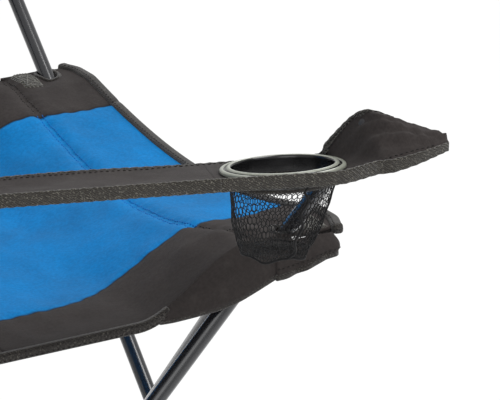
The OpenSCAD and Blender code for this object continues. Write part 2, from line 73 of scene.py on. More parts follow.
HALF = 213.0            # corner pins, from the chair's middle
SEAT_HALF = 243.0       # the seat's side edges
SEAT_FRONT = -HALF - 74
SEAT_REAR = 189.2
SEAT_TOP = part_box("seat_front")[1][2] / MM
REAR_SEAM = 62.0
SKIRT_BACK = -128.0     # the skirt beside each front corner ends here, and the side binding starts
POST_X, POST_TOP = 359.5, 609.0   # an arm post's upper end
POST_HOLE_X = 229.5   # where the posts pass through the seat
ARM_X0, ARM_Y0, ARM_TOP, ARM_ROLL = 219.0, 189.2, 584.0, math.radians(9)
CUP_BACK, CUP_HOLE_R = 68.0, 42.0   # the cup's place behind the arm's front, and its hole in the cloth
POST_Y = {True: 244.35, False: 258.95}   # by side: True is the sitter's right


def place(points, side=-1):
    """Millimetres, X outward on a side, to metres in the row frame."""
    p = np.array(points, float)
    p[..., 0] *= side
    p *= MM
    p[..., 1] += FRAME_Y
    return p


def smooth(t):
    t = np.clip(t, 0, 1)
    return t * t * (3 - 2 * t)


def bump(x, width):
    return np.exp(-(x / width) ** 2)


def lattice(ix, iy, seed):
    v = np.sin(ix * 127.1 + iy * 311.7 + seed * 74.7) * 43758.5453
    return v - np.floor(v)


def noise(x, y, seed=0):
    """Smooth value noise from -1 to 1, one cell to a unit."""
    ix, iy = np.floor(x), np.floor(y)
    u, v = smooth(x - ix), smooth(y - iy)
    a, b = lattice(ix, iy, seed), lattice(ix + 1, iy, seed)
    c, d = lattice(ix, iy + 1, seed), lattice(ix + 1, iy + 1, seed)
    return 2 * (a + (b - a) * u + (c - a) * v + (a - b - c + d) * u * v) - 1


def spline(points, params):
    """Smooth curve through points, at params counted in points."""
    p = np.array(points, float)
    slope = np.gradient(p, axis=0)
    k = np.clip(np.floor(params).astype(int), 0, len(p) - 2)
    t = (params - k)[:, None]
    return ((2 * t ** 3 - 3 * t ** 2 + 1) * p[k] + (t ** 3 - 2 * t ** 2 + t) * slope[k]
            + (3 * t ** 2 - 2 * t ** 3) * p[k + 1] + (t ** 3 - t ** 2) * slope[k + 1])


def even(path, step):
    """Resamples a path at an even step."""
    d = np.r_[0, np.cumsum(np.linalg.norm(np.diff(path, axis=0), axis=1))]
    at = np.linspace(0, d[-1], max(2, int(round(d[-1] / step)) + 1))
    return np.stack([np.interp(at, d, path[:, k]) for k in range(path.shape[1])], 1)


def unit(v):
    return v / np.maximum(np.linalg.norm(v, axis=-1, keepdims=True), 1e-9)


# ---------------------------------------------------------------- materials

class Nodes:
    """Short names for building one material's node tree."""

    def __init__(self, name, **inputs):
        self.mat = bpy.data.materials.new(name)
        self.mat.use_nodes = True
        self.tree = self.mat.node_tree
        self.tree.nodes.clear()
        self.out = self.tree.nodes.new("ShaderNodeOutputMaterial")
        self.shader = self("ShaderNodeBsdfPrincipled", inputs)
        self.tree.links.new(self.shader.outputs[0], self.out.inputs[0])

    def __call__(self, kind, inputs=None, **props):
        node = self.tree.nodes.new(kind)
        for k, v in props.items():
            setattr(node, k, v)
        for k, v in (inputs or {}).items():
            self.set(node.inputs[k], v)
        return node

    def set(self, socket, value):
        if isinstance(value, bpy.types.NodeSocket):
            self.tree.links.new(value, socket)
        elif isinstance(value, tuple):
            socket.default_value = value[:len(socket.default_value)]
        else:
            socket.default_value = value

    def math(self, op, a, b=0.0, c=0.0):
        node = self("ShaderNodeMath", {0: a, 1: b, 2: c}, operation=op)
        return node.outputs[0]

    def mix(self, factor, a, b):
        node = self("ShaderNodeMix", {0: factor, 6: a, 7: b}, data_type="RGBA")
        return node.outputs[2]

    def noise(self, scale, detail=2.0, vector=None, roughness=0.5):
        node = self("ShaderNodeTexNoise", {"Scale": scale, "Detail": detail, "Roughness": roughness})
        if vector is not None:
            self.set(node.inputs["Vector"], vector)
        return node.outputs["Fac"]

    def ramp(self, factor, low, high, out_low=0.0, out_high=1.0):
        node = self("ShaderNodeMapRange", {0: factor, 1: low, 2: high, 3: out_low, 4: out_high})
        return node.outputs[0]

    def bump(self, height, distance, normal=None):
        node = self("ShaderNodeBump", {"Strength": 1.0, "Distance": distance, "Height": height})
        if normal is not None:
            self.set(node.inputs["Normal"], normal)
        return node.outputs[0]


def rgb(r, g, b):
    """Display colour, 0 to 255, as a linear one."""
    shares = [c / 255 for c in (r, g, b)]
    return tuple(((c + 0.055) / 1.055) ** 2.4 if c > 0.04 else c / 12.92 for c in shares) + (1.0,)


def weave_height(n, pitch, twill):
    """Threads that cross at a pitch in metres, from the piece's own lengthwise and crosswise coordinates."""
    uv = n("ShaderNodeUVMap", uv_map="UVMap").outputs[0]
    xy = n("ShaderNodeSeparateXYZ", {0: uv})
    k = 2 * math.pi / pitch
    u, v = (n.math("MULTIPLY", xy.outputs[i], k) for i in (0, 1))
    if twill:
        rib = n.math("SINE", n.math("ADD", u, v))
        cross = n.math("SINE", n.math("MULTIPLY", v, 2.0))
    else:
        rib, cross = n.math("SINE", u), n.math("SINE", v)
    return n.math("MULTIPLY_ADD", n.math("MULTIPLY", rib, cross), 0.5, 0.5)


def cloth(name, base, pitch=0.0011, twill=False, speck=0.0, second=None, depth=0.00012, sheen=0.25):
    """Woven cloth: threads with painted shade in their hollows, colour that varies in patches, painted shade
    along the border of a two-colour piece, a little dust, and fuzz.
    """
    n = Nodes(name)
    height = weave_height(n, pitch, twill)
    where = n("ShaderNodeTexCoord").outputs["Object"]
    patches = n.noise(16.0, 4.0, where)
    fine = n.noise(420.0, 2.0, where)
    colour, most_dust = base, 0.07
    if second is not None:
        edge = n("ShaderNodeAttribute", attribute_name="border").outputs["Fac"]
        colour, most_dust = n.mix(n.ramp(edge, -0.4, 0.4), second, base), 0.02
        # Painted shade: the cloth darkens along the border between its two colours, where the surface dips in
        # a groove.
        border_groove_shade = n.ramp(n.math("ABSOLUTE", edge), 0.3, 2.2, 0.35, 1.0)
    shade = n.ramp(patches, 0.3, 0.7, 0.86, 1.14)
    shade = n.math("MULTIPLY", shade, n.ramp(fine, 0.35, 0.65, 0.9, 1.1))
    # Painted shade in the weave's hollows and painted light on the threads' tops: the colour follows the
    # weave's height.
    shade = n.math("MULTIPLY", shade, n.ramp(height, 0.0, 1.0, 0.8, 1.12))
    if second is not None:
        shade = n.math("MULTIPLY", shade, border_groove_shade)
    scaled = n("ShaderNodeVectorMath", {0: colour, "Scale": shade}, operation="SCALE").outputs[0]
    if speck:
        dots = n.ramp(n.noise(900.0, 1.0, where), 0.58, 0.7)
        scaled = n.mix(n.math("MULTIPLY", dots, speck), scaled, rgb(150, 146, 134))
    dusty = n.ramp(n.noise(60.0, 5.0, where), 0.6, 0.85, 0.0, most_dust)
    scaled = n.mix(dusty, scaled, rgb(132, 128, 122))
    n.set(n.shader.inputs["Base Color"], scaled)
    n.set(n.shader.inputs["Roughness"], n.ramp(patches, 0.3, 0.7, 0.78, 0.92))
    n.shader.inputs["Sheen Weight"].default_value = sheen
    n.shader.inputs["Sheen Roughness"].default_value = 0.5
    n.shader.inputs["Specular IOR Level"].default_value = 0.08
    soft = n.bump(n.noise(140.0, 3.0, where), 0.0004)
    n.set(n.shader.inputs["Normal"], n.bump(height, depth, soft))
    return n.mat


def painted_steel():
    """Gloss black paint, dulled in patches."""
    n = Nodes("gloss_black_powder_coat")
    where = n("ShaderNodeTexCoord").outputs["Object"]
    wear = n.ramp(n.noise(55.0, 6.0, where, 0.7), 0.74, 0.86, 0.0, 0.5)
    paint = n.mix(n.noise(9.0, 3.0, where), rgb(20, 21, 24), rgb(34, 35, 39))
    n.set(n.shader.inputs["Base Color"], n.mix(wear, paint, rgb(70, 70, 72)))
    n.set(n.shader.inputs["Roughness"], n.ramp(n.noise(35.0, 5.0, where), 0.3, 0.7, 0.16, 0.34))
    n.shader.inputs["Coat Weight"].default_value = 0.5
    n.shader.inputs["Coat Roughness"].default_value = 0.12
    n.set(n.shader.inputs["Normal"], n.bump(n.noise(700.0, 2.0, where), 0.00004))
    return n.mat


def moulded(name, dark, light, rough, grain):
    """Moulded plastic with a fine grain and scuffs."""
    n = Nodes(name)
    where = n("ShaderNodeTexCoord").outputs["Object"]
    scuff = n.ramp(n.noise(90.0, 7.0, where, 0.75), 0.62, 0.76, 0.0, 0.35)
    plain = n.mix(n.noise(20.0, 3.0, where), dark, light)
    n.set(n.shader.inputs["Base Color"], n.mix(scuff, plain, rgb(96, 95, 92)))
    gloss = n.ramp(n.noise(45.0, 4.0, where), 0.3, 0.7, rough - 0.06, rough + 0.1)
    n.set(n.shader.inputs["Roughness"], gloss)
    n.set(n.shader.inputs["Normal"], n.bump(n.noise(1400.0, 2.0, where), grain))
    return n.mat


def zinc():
    """Dull plated rivets."""
    n = Nodes("zinc_plate", Metallic=1.0)
    where = n("ShaderNodeTexCoord").outputs["Object"]
    plate = n.mix(n.noise(160.0, 4.0, where), rgb(150, 150, 148), rgb(196, 196, 192))
    n.set(n.shader.inputs["Base Color"], plate)
    n.set(n.shader.inputs["Roughness"], n.ramp(n.noise(300.0, 4.0, where), 0.3, 0.7, 0.25, 0.5))
    n.set(n.shader.inputs["Normal"], n.bump(n.noise(900.0, 3.0, where), 0.00005))
    return n.mat


BLUE, DARK = rgb(0, 108, 170), rgb(50, 46, 45)
SEAT_CLOTH = cloth("blue_and_dark_plain_weave", BLUE, second=DARK, pitch=0.0012, sheen=0.03)
DARK_CLOTH = cloth("dark_plain_weave", DARK, pitch=0.0012, sheen=0.05)
BINDING = cloth("binding_tape", rgb(40, 37, 35), pitch=0.0026, twill=True, speck=0.22, depth=0.0004)
BAND = cloth("edge_webbing", rgb(50, 47, 42), pitch=0.0038, twill=True, speck=0.5, depth=0.0011)
NET = cloth("net_thread", rgb(30, 30, 31), pitch=0.001, depth=0.00005, sheen=0.1)
THREAD = cloth("dark_sewing_thread", rgb(34, 32, 31), pitch=0.0008, depth=0.0001, sheen=0.1)
# Painted highlight: the box stitching's thread is coloured pale to stand for the light on it.
BOX_STITCH_HIGHLIGHT_THREAD = cloth("pale_sewing_thread", rgb(122, 121, 116), pitch=0.0008, depth=0.0001, sheen=0.1)
BLUE_THREAD = cloth("blue_sewing_thread", rgb(0, 92, 168), pitch=0.0008, depth=0.0001, sheen=0.1)
STEEL = painted_steel()
FITTING = moulded("satin_black_plastic", rgb(22, 22, 24), rgb(36, 36, 38), 0.42, 0.00008)
PLUG = moulded("soft_black_plastic", rgb(26, 26, 28), rgb(38, 38, 40), 0.55, 0.0001)
RING_BLACK = moulded("gloss_black_plastic", rgb(12, 12, 13), rgb(20, 20, 21), 0.14, 0.00002)
RING_RIM = moulded("pale_worn_rim", rgb(116, 119, 108), rgb(146, 149, 138), 0.3, 0.00003)
ZINC = zinc()

# ---------------------------------------------------------------- meshes


def piece(name, verts, quads, uvs, material):
    """A smooth mesh of the vertices that its quads use; also returns which ones those are."""
    used, flat = np.unique(quads, return_inverse=True)
    mesh = bpy.data.meshes.new(name)
    mesh.from_pydata(verts[used].tolist(), [], flat.reshape(-1, 4).tolist())
    mesh.uv_layers.new(name="UVMap").data.foreach_set("uv", np.asarray(uvs, np.float32).ravel())
    mesh.materials.append(material)
    mesh.polygons.foreach_set("use_smooth", np.ones(len(mesh.polygons), bool))
    mesh.update()
    obj = bpy.data.objects.new(name, mesh)
    bpy.context.collection.objects.link(obj)
    return obj, used


def surface(name, points, uv, material, wrap=False, keep=None):
    """Grid of points (rows, columns, 3) in metres, with uv; a wrapped one has one more uv column."""
    n, m = points.shape[:2]
    grid = np.arange(n * m).reshape(n, m)
    if wrap:
        grid = np.hstack([grid, grid[:, :1]])

    def corners(a):
        return np.stack([a[:-1, :-1], a[:-1, 1:], a[1:, 1:], a[1:, :-1]], 2)
    quads = corners(grid).reshape(-1, 4)
    uvs = corners(uv).reshape(-1, 4, 2)
    if keep is not None:
        quads, uvs = quads[keep.ravel()], uvs[keep.ravel()]
    return piece(name, points.reshape(-1, 3), quads, uvs, material)


def thicken(obj, thickness, offset=-1.0):
    """Gives a sheet its thickness and bakes it into the mesh."""
    mod = obj.modifiers.new("thickness", "SOLIDIFY")
    mod.thickness, mod.offset, mod.use_even_offset = thickness * MM, offset, True
    bake(obj)


def bake(obj):
    """Puts the result of a piece's modifiers into its mesh."""
    graph = bpy.context.evaluated_depsgraph_get()
    mesh = bpy.data.meshes.new_from_object(obj.evaluated_get(graph), preserve_all_data_layers=True,
                                           depsgraph=graph)
    obj.modifiers.clear()
    old = obj.data
    obj.data = mesh
    mesh.name = old.name


def part_at(obj, point, ahead):
    """Cuts a closed piece in two at a plane: it keeps what lies ahead, and a new piece takes the rest."""
    rear = bpy.data.objects.new(obj.name + "_rear", obj.data.copy())
    for collection in obj.users_collection:
        collection.objects.link(rear)
    for half, behind in ((obj, False), (rear, True)):
        bm = bmesh.new()
        bm.from_mesh(half.data)
        cut = bmesh.ops.bisect_plane(bm, geom=bm.verts[:] + bm.edges[:] + bm.faces[:], plane_co=point,
                                     plane_no=ahead, clear_outer=behind, clear_inner=not behind)
        rim = [e for e in cut["geom_cut"] if isinstance(e, bmesh.types.BMEdge) and e.is_boundary]
        bmesh.ops.holes_fill(bm, edges=rim, sides=0)
        bm.to_mesh(half.data)
        bm.free()
    return rear


def rounded(width, height, corner=0.45, count=20):
    """Outline of a rounded section, as (across, up)."""
    a = np.linspace(0, 2 * math.pi, count, endpoint=False)
    c, s = np.cos(a), np.sin(a)
    x, y = (np.sign(k) * abs(k) ** corner for k in (c, s))
    return np.stack([width / 2 * x, height / 2 * y], 1)


def sweep(name, path, section, material, side=-1, up=(0, 0, 1), scale=None, ends=True):
    """Sweeps a section along a path in millimetres, with rounded ends."""
    path = np.asarray(path, float)
    scale = np.ones((len(path), 2)) if scale is None else np.asarray(scale, float)
    if ends:
        tip = np.linalg.norm(section, axis=1).max() * 0.7
        head, tail = unit(path[0] - path[1]), unit(path[-1] - path[-2])
        out = np.array([0.98, 0.85, 0.5]) * tip
        path = np.vstack([[path[0] + head * o for o in out], path, [path[-1] + tail * o for o in out[::-1]]])
        taper = np.array([0.05, 0.55, 0.9])[:, None]
        scale = np.vstack([scale[0] * taper, scale, scale[-1] * taper[::-1]])
    along = unit(np.gradient(path, axis=0))
    across = unit(np.cross(along, np.array(up, float)))
    top = np.cross(across, along)
    shape = section[None] * scale[:, None]
    pts = path[:, None] + across[:, None] * shape[..., :1] + top[:, None] * shape[..., 1:]
    run = np.r_[0, np.cumsum(np.linalg.norm(np.diff(path, axis=0), axis=1))] * MM
    ring = np.r_[section, section[:1]]
    girth = np.r_[0, np.cumsum(np.linalg.norm(np.diff(ring, axis=0), axis=1))] * MM
    uv = np.stack(np.meshgrid(run, girth, indexing="ij"), -1)
    return surface(name, place(pts, side), uv, material, wrap=True)[0]


def struts(name, a, b, radius, material, sides=4):
    """Short threads from points a to points b, in metres, as one mesh."""
    along = unit(b - a)
    ref = np.where(abs(along[:, 2:]) > 0.9, [[1.0, 0, 0]], [[0, 0, 1.0]])
    u = unit(np.cross(along, ref))
    v = np.cross(along, u)
    ang = np.linspace(0, 2 * math.pi, sides, endpoint=False)
    ring = radius * (np.cos(ang)[None, :, None] * u[:, None] + np.sin(ang)[None, :, None] * v[:, None])
    verts = np.stack([a[:, None] + ring, b[:, None] + ring], 1).reshape(-1, 3)
    base = np.arange(len(a))[:, None] * 2 * sides
    k = np.arange(sides)
    j = (k + 1) % sides
    quads = np.stack([base + k, base + j, base + sides + j, base + sides + k], -1).reshape(-1, 4)
    length = np.linalg.norm(b - a, axis=1)
    uvs = np.zeros((len(a), sides, 4, 2))
    uvs[..., 2:, 0] = length[:, None, None]
    uvs[..., 0] += np.arange(len(a))[:, None, None] * 0.0007
    uvs[..., 1] = (k[:, None] + np.array([0, 1, 1, 0])) * 0.0004
    return piece(name, verts, quads, uvs.reshape(-1, 4, 2), material)[0]


STITCH_LIFT = 0.2       # how far a stitch's middle stands off its line


def stitches(name, path, material, side=-1, pitch=4.2, length=2.9, width=0.9, normal=(0, 0, 1)):
    """A row of stitches along a path in millimetres: small rounded threads that dip at each end."""
    line = even(np.asarray(path, float), pitch)
    mid = (line[:-1] + line[1:]) / 2
    along = unit(line[1:] - line[:-1])
    nrm = np.broadcast_to(np.array(normal, float), mid.shape)
    across = unit(np.cross(along, nrm))
    up = np.cross(across, along)
    t = np.array([-0.5, -0.3, 0.0, 0.3, 0.5]) * length
    drop = np.array([-0.5, 0.0, 0.15, 0.0, -0.5]) * width
    fat = np.array([0.25, 0.85, 1.0, 0.85, 0.25]) * width / 2
    ang = np.linspace(0, 2 * math.pi, 6, endpoint=False)
    pts = (mid[:, None, None] + along[:, None, None] * t[None, :, None, None]
           + up[:, None, None] * (drop[:, None] + fat[:, None] * np.sin(ang) + STITCH_LIFT)[None, ..., None]
           + across[:, None, None] * (fat[:, None] * np.cos(ang))[None, ..., None])
    verts = place(pts, side).reshape(-1, 3)
    base = (np.arange(len(mid)) * 30)[:, None, None] + (np.arange(4) * 6)[None, :, None]
    k = np.arange(6)
    j = (k + 1) % 6
    quads = np.stack([base + k, base + j, base + 6 + j, base + 6 + k], -1).reshape(-1, 4)
    uvs = np.zeros((len(quads), 4, 2))
    uvs[:, 1:3, 1] = 0.0005
    uvs[:, 2:, 0] = 0.0007
    return piece(name, verts, quads, uvs, material)[0]


def fabric(obj, body):
    """A soft piece on a body."""
    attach(obj, body)
    return obj


def on_width(obj, body):
    """Cloth on a body, with a mesh of its own."""
    fabric(obj, body)
    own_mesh(obj)
    return obj


# ---------------------------------------------------------------- seat

def seat_base(x, y):
    """The slung seat's height: it sags in the middle, and its sides dip between the corners."""
    across = 1 - np.minimum(1, abs(x) / 202) ** 1.8
    across = (across + np.sqrt(across ** 2 + 0.003)) / 2
    dip = smooth(np.where(y < 0, 204 + y, SEAT_REAR - y) / 95)
    return SEAT_TOP - 28 * across - 46 * dip * (1 - 0.55 * across)


def seat_seam(x):
    """The front seam's place, which bends forward near the right edge."""
    return -207 - 0.06 * x - 19 * smooth((-110 - x) / 135)


def seat_border(x, y):
    """How far a point lies inside the blue panel."""
    return 155 + 23 * smooth((y + 147) / 82) - 3 * noise(y / 60, y * 0, 5) - abs(x)


def seat_surface(x, y):
    """The seat's height with its wrinkles, seams, border and gathers at the front corners."""
    z = seat_base(x, y)
    edge = smooth((SEAT_HALF - abs(x)) / 30) * smooth((y - SEAT_FRONT) / 22)
    z = z + edge * (1.7 * noise((x + 0.6 * y) / 62, (y - 0.35 * x) / 27, 1)
                    + 0.9 * noise((x - 0.4 * y) / 30, (y + 0.5 * x) / 15, 2) + 0.25 * noise(x / 8, y / 8, 3))
    for seam in (seat_seam(x), REAR_SEAM):
        d = y - seam
        z = z - (2.6 * bump(d, 4.2) - 1.0 * bump(abs(d) - 13, 8)
                 + 0.5 * np.sin(x / 2.1 + 2 * noise(x / 20, x * 0, 6)) * bump(d, 9))
    b = seat_border(x, y)
    z = z - 1.1 * bump(b, 2.4) + 0.35 * np.sin(y / 2.4) * bump(b, 6)
    for sx in (-1, 1):
        ang = np.arctan2(y - SEAT_FRONT, SEAT_HALF - sx * x)
        r = np.hypot(SEAT_HALF - sx * x, y - SEAT_FRONT)
        z = z + 1.5 * np.sin(ang * 11 + 1) * bump(r - 62, 40) * edge
    return z


def make_seat():
    for node, y0, y1 in (("seat_front", SEAT_FRONT + 1, -0.15), ("seat_rear", 0.15, SEAT_REAR)):
        x = np.linspace(-SEAT_HALF + 1, SEAT_HALF - 1, 163)
        y = np.linspace(y0, y1, int((y1 - y0) / 3))
        gx, gy = np.meshgrid(x, y)
        pts = place(np.stack([gx, gy, seat_surface(gx, gy)], -1), 1)
        uv = np.stack([gx, gy], -1) * MM
        cx, cy = (gx[:-1, :-1] + gx[1:, 1:]) / 2, (gy[:-1, :-1] + gy[1:, 1:]) / 2
        keep = np.ones(cx.shape, bool)
        for right in (True, False):
            px = (-1 if right else 1) * POST_HOLE_X
            keep &= ((cx - px) / 12) ** 2 + ((cy + POST_Y[right]) / 9.5) ** 2 > 1
        obj, used = surface(node + "_cloth", pts, uv, SEAT_CLOTH, keep=keep)
        attribute = obj.data.attributes.new("border", "FLOAT", "POINT")
        attribute.data.foreach_set("value", seat_border(gx, gy).ravel()[used].astype(np.float32))
        thicken(obj, 3.2)
        on_width(obj, node)
        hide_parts(node)
    # The double-stitched seams, on the cloth's own surface.
    for name, body, line in (("front_seam", "seat_front", seat_seam),
                             ("rear_seam", "seat_rear", lambda x: x * 0 + REAR_SEAM)):
        for k, off in enumerate((-2.4, 2.4)):
            for part, x0, x1, mat in (("blue", -157, 157, BLUE_THREAD), ("right", 159, 238, THREAD),
                                      ("left", -238, -159, THREAD)):
                x = np.linspace(x0, x1, 120)
                y = line(x) + off
                path = np.stack([x, y, seat_surface(x, y)], 1)
                on_width(stitches(f"{name}_stitches_{part}_{k}", path, mat, side=1, pitch=4.0), body)
    # Bindings: the front edge from corner to corner, and each side edge behind its skirt.
    x = np.linspace(-SEAT_HALF - 2, SEAT_HALF + 2, 170)
    y = np.full_like(x, SEAT_FRONT) + 6 * smooth((abs(x) - 225) / 22)
    front = np.stack([x, y, seat_surface(x, y) - 1.2], 1)
    tape = rounded(9.0, 8.4, 0.6)
    on_width(sweep("seat_front_binding", front, tape, BINDING, side=1), "seat_front")
    on_width(stitches("seat_front_binding_stitches", front + [0, 2.4, 4.0], THREAD, side=1, pitch=4.4),
             "seat_front")
    for side in (-1, 1):
        word = "right" if side < 0 else "left"
        for node, y0, y1 in (("seat_front", SKIRT_BACK - 6, 0), ("seat_rear", 0, SEAT_REAR - 1)):
            y = np.linspace(y0, y1, int((y1 - y0) / 4))
            x = np.full_like(y, SEAT_HALF - 0.5)
            path = np.stack([x, y, seat_surface(x, y) - 2.2], 1)
            on_width(sweep(f"{node}_binding_{word}", path, rounded(5.2, 8.4, 0.55), BINDING, side), node)
            for k, dz in enumerate((2.2, -2.2)):
                on_width(stitches(f"{node}_binding_{word}_stitches_{k}", path + [2.5, 0, dz], THREAD, side,
                                  normal=(1, 0, 0.2), pitch=4.4), node)


def make_skirt(side, word):
    """The seat's edge cloth, which hangs outside the corner joint and tapers into the side hem."""
    y = np.linspace(-240, SKIRT_BACK, 45)
    low = 442 + 4 * smooth((-130 - y) / 45) + 22 * smooth((-165 - y) / 85)
    out = SEAT_HALF + 9 * smooth((-126 - y) / 60)
    edge = seat_surface(np.full_like(y, SEAT_HALF - 1), y) + 0.6
    t = np.linspace(0, 1, 13)[None]
    roll = smooth(t * 2.2)
    pts = np.empty((len(y), t.size, 3))
    ruffle = 0.7 * noise(y[:, None] / 14, t * 3, 41) * t
    pts[..., 0] = SEAT_HALF - 2 + (out - SEAT_HALF + 2)[:, None] * roll + ruffle
    pts[..., 1] = y[:, None]
    pts[..., 2] = edge[:, None] - (edge - low)[:, None] * t ** 1.2
    uv = np.stack([np.repeat(y[:, None], t.size, 1), 40 * np.repeat(t, len(y), 0)], -1) * MM
    skirt, _ = surface("seat_skirt_" + word, place(pts, side), uv, DARK_CLOTH)
    thicken(skirt, 2.0)
    on_width(skirt, "seat_front")
    hem = rounded(4.0, 6.0, 0.6)
    on_width(sweep("seat_skirt_hem_" + word, pts[:, -1], hem, BINDING, side), "seat_front")


def make_corners():
    """Flaps and skirts at the front corners, eyelets round the posts, and straps with their box stitching."""
    for right in (True, False):
        side = -1 if right else 1
        word = "right" if right else "left"
        body = "corner_joint_" + word
        make_skirt(side, word)
        turn = np.radians(np.linspace(-90, 0, 7))
        foot = [[x, -278.5] for x in np.linspace(200, 243, 14)]
        foot += [[246 + 8 * math.cos(a), -270.5 + 8 * math.sin(a)] for a in turn]
        foot += [[254 + 0.4 * math.sin(y / 7), y] for y in np.linspace(-266, -222, 16)]
        foot = even(np.array(foot), 2.5)
        run = np.r_[0, np.cumsum(np.linalg.norm(np.diff(foot, axis=0), axis=1))]
        t = np.linspace(0, 1, 12)
        lean = np.clip((foot[:, 0] - 240) / 14, 0, 1)
        top = 484.0 + 2.5 * lean
        low = 470 - 9 * smooth((foot[:, 1] + 275) / 50) - 2 * (1 - lean)
        z = top[:, None] + (low - top)[:, None] * t
        gather = 1.3 * noise(run[:, None] / 9, t[None] * 3, 8) * t + 3.5 * bump(t - 0.55, 0.3)
        sideways = np.clip((foot[:, 0] - 240) / 14, 0.05, 1)
        forward = np.clip((-262 - foot[:, 1]) / 14, 0, 1)
        normal = unit(np.stack([sideways, -forward], 1))
        pts = np.empty((len(foot), len(t), 3))
        pts[..., :2] = foot[:, None] + normal[:, None] * (gather - 7 * (1 - t) * lean[:, None])[..., None]
        pts[..., 2] = z
        uv = np.stack([np.repeat(run[:, None], len(t), 1), -z], -1) * MM
        flap, _ = surface("corner_flap_cloth_" + word, place(pts, side), uv, DARK_CLOTH)
        thicken(flap, 2.0, 0.0)
        fabric(flap, body)
        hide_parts("corner_flap_" + word)
        hem = pts[:, -1] + [0, 0, 0.5]
        fabric(sweep("corner_flap_hem_" + word, hem, rounded(3.4, 5.0, 0.6), BINDING, side), body)
        row = pts[:, -4] + np.c_[normal, normal[:, 0] * 0] * 1.3
        fabric(stitches("corner_flap_stitches_" + word, row, THREAD, side, normal=(0.8, -0.5, 0.1)), body)
        # Eyelet round the post.
        a = np.linspace(0, 2 * math.pi, 49)
        ex, ey = POST_HOLE_X + 12.5 * np.cos(a), -POST_Y[right] + 10 * np.sin(a)
        eye = np.stack([ex, ey, seat_surface(ex * side, ey) + 0.3], 1)
        rim = rounded(3.6, 3.0, 0.7, 10)
        on_width(sweep("post_eyelet_" + word, eye, rim, BINDING, side, ends=False), "seat_front")
        # Strap end with its box and chevron stitching, in thread coloured pale as a painted highlight.
        cx, cy = 224, -POST_Y[right] - 22 if right else -POST_Y[right] + 22
        box = np.array([[-15, -7], [15, -7], [15, 7], [-15, 7], [-15, -7], [0, 0], [15, -7], [15, 7], [0, 0],
                        [-15, 7]], float)
        xs, ys = np.meshgrid(np.linspace(-18, 18, 22), np.linspace(-10, 10, 12))
        edge = np.minimum(18 - abs(xs), 10 - abs(ys))
        height = seat_surface((cx + xs) * side, cy + ys) + 1.7 * smooth(edge / 2) - 0.6
        pad = np.stack([cx + xs, cy + ys, height], -1)
        uv = np.stack([xs, ys], -1) * MM
        strap, _ = surface("corner_strap_" + word, place(pad, side), uv, BAND)
        on_width(strap, "seat_front")
        for k, scale in enumerate((1.0, 0.62)):
            line = even(box * scale, 1.0)
            path = np.stack([cx + line[:, 0], cy + line[:, 1],
                             seat_surface((cx + line[:, 0]) * side, cy + line[:, 1]) + 1.3], 1)
            on_width(stitches(f"corner_box_stitches_{word}_{k}", path, BOX_STITCH_HIGHLIGHT_THREAD, side, pitch=2.6,
                              length=2.1), "seat_front")


# ---------------------------------------------------------------- arms

CUP_RING_R, SPLIT_BACK = 46.0, 6.0   # the ring's radius, and how far behind it each arm is parted


